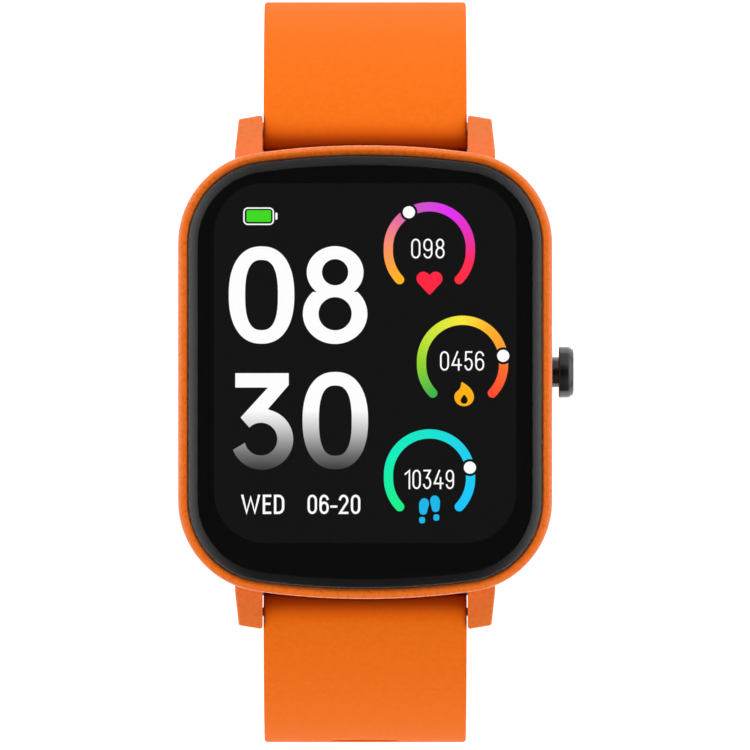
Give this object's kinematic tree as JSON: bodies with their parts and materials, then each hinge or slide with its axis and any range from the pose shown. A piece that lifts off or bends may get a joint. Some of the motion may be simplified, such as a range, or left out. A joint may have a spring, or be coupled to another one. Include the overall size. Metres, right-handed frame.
{
  "type": "gps running watch",
  "caption": "Square-faced running watch with a rounded orange case, bevelled cover glass, side crown, silicone straps on spring bars and a pin buckle.",
  "frame": {"origin": "middle of the sensor window's flat outer face, where the watch rests on the wrist", "axes": "+Z out of the display, +Y towards 12 o'clock and the short strap, +X towards 3 o'clock and the crown"},
  "size_m": [0.0389, 0.0736, 0.0853],
  "materials": {
    "orange_case": "satin orange coating with a smooth rounded rim",
    "orange_silicone": "matte moulded silicone",
    "black_plastic": "fine matte moulding",
    "black_print": "black printed border",
    "cover_glass": "clear polished",
    "display": "dark display under glass",
    "gunmetal": "dark polished coating",
    "steel": "plain machined or pressed",
    "seal_rubber": "black rubber",
    "circuit_board": "green solder mask",
    "chip_epoxy": "black moulded epoxy",
    "led": "clear encapsulant over green dice",
    "gold_contact": "gold plated",
    "magnet": "nickel plated",
    "battery_foil": "matte foil pouch",
    "foam": "foam tape",
    "flex_film": "amber polyimide film",
    "sensor_lens": "polished dark window"
  },
  "bodies": {
    "case": {"case_body": "orange_case", "back_cover": "black_plastic", "back_gasket": "seal_rubber", "back_cover_screws": "steel", "sensor_window": "sensor_lens", "sensor_baffle": "black_plastic", "sensor_board": "circuit_board", "sensor_leds": "led", "photodiodes": "chip_epoxy", "sensor_flex": "flex_film", "charging_contacts": "gold_contact", "charging_magnets": "magnet", "chassis": "black_plastic", "chassis_screws": "steel", "display_tray": "steel", "display_panel": "display", "display_flex": "flex_film", "display_socket": "black_plastic", "touch_sensor": "cover_glass", "glass_print": "black_print", "glass_adhesive": "foam", "cover_glass": "cover_glass", "battery": "battery_foil", "battery_pad": "foam", "main_board": "circuit_board", "board_screws": "steel", "shield_can": "steel", "chips": "chip_epoxy", "gps_antenna": "black_plastic", "vibration_motor": "steel", "crown_tube": "steel", "crown_switch": "black_plastic", "crown_bracket": "steel", "crown_flex": "flex_film", "crown_sensor": "chip_epoxy"},
    "crown_carriage": {"crown_washer": "foam", "switch_plunger": "black_plastic"},
    "crown": {"crown_cap": "gunmetal", "crown_seals": "seal_rubber", "crown_clip": "steel", "crown_magnet": "magnet"},
    "upper_strap": {"upper_strap": "orange_silicone", "upper_bar_tube": "steel", "upper_bar_spring": "steel", "fixed_keeper": "orange_silicone"},
    "upper_bar_tip_right": {"upper_bar_tip_right": "steel"},
    "upper_bar_tip_left": {"upper_bar_tip_left": "steel"},
    "lower_strap": {"lower_strap": "orange_silicone", "lower_bar_tube": "steel", "lower_bar_spring": "steel"},
    "lower_bar_tip_right": {"lower_bar_tip_right": "steel"},
    "lower_bar_tip_left": {"lower_bar_tip_left": "steel"},
    "free_keeper": {"free_keeper": "orange_silicone"},
    "buckle_frame": {"buckle_frame": "gunmetal", "buckle_pin": "gunmetal"},
    "buckle_tongue": {"buckle_tongue": "gunmetal"}
  },
  "joints": [
    {"name": "crown_press", "type": "slide", "parent": "case", "child": "crown_carriage", "axis": [-1, 0, 0], "range_m": [0, 0.0005], "stiffness_N_per_m": 3000, "springref_m": -0.0004},
    {"name": "crown_turn", "type": "hinge", "parent": "crown_carriage", "child": "crown", "pos_m": [0.0184, 0, 0.00465], "axis": [1, 0, 0], "continuous": true},
    {"name": "upper_strap_swing", "type": "hinge", "parent": "case", "child": "upper_strap", "pos_m": [0, 0.0236, 0.0037], "axis": [1, 0, 0], "range_deg": [0, 70]},
    {"name": "lower_strap_swing", "type": "hinge", "parent": "case", "child": "lower_strap", "pos_m": [0, -0.0236, 0.0037], "axis": [-1, 0, 0], "range_deg": [0, 70]},
    {"name": "keeper_slide", "type": "hinge", "parent": "upper_strap", "child": "free_keeper", "pos_m": [0, 0, -0.02215], "axis": [-1, 0, 0], "range_deg": [-84, 0.7]},
    {"name": "buckle_swing", "type": "hinge", "parent": "upper_strap", "child": "buckle_frame", "pos_m": [0, 0.00744, -0.05696], "axis": [1, 0, 0], "range_deg": [-95, 30]},
    {"name": "tongue_swing", "type": "hinge", "parent": "buckle_frame", "child": "buckle_tongue", "pos_m": [0, 0.00744, -0.05696], "axis": [1, 0, 0], "range_deg": [0, 80]},
    {"name": "upper_tip_right", "type": "slide", "parent": "upper_strap", "child": "upper_bar_tip_right", "axis": [-1, 0, 0], "range_m": [0, 0.0011], "stiffness_N_per_m": 1500, "springref_m": -0.0005, "deforming": ["upper_bar_spring"]},
    {"name": "upper_tip_left", "type": "slide", "parent": "upper_strap", "child": "upper_bar_tip_left", "axis": [1, 0, 0], "range_m": [0, 0.0011], "stiffness_N_per_m": 1500, "springref_m": -0.0005, "deforming": ["upper_bar_spring"]},
    {"name": "lower_tip_right", "type": "slide", "parent": "lower_strap", "child": "lower_bar_tip_right", "axis": [-1, 0, 0], "range_m": [0, 0.0011], "stiffness_N_per_m": 1500, "springref_m": -0.0005, "deforming": ["lower_bar_spring"]},
    {"name": "lower_tip_left", "type": "slide", "parent": "lower_strap", "child": "lower_bar_tip_left", "axis": [1, 0, 0], "range_m": [0, 0.0011], "stiffness_N_per_m": 1500, "springref_m": -0.0005, "deforming": ["lower_bar_spring"]}
  ]
}
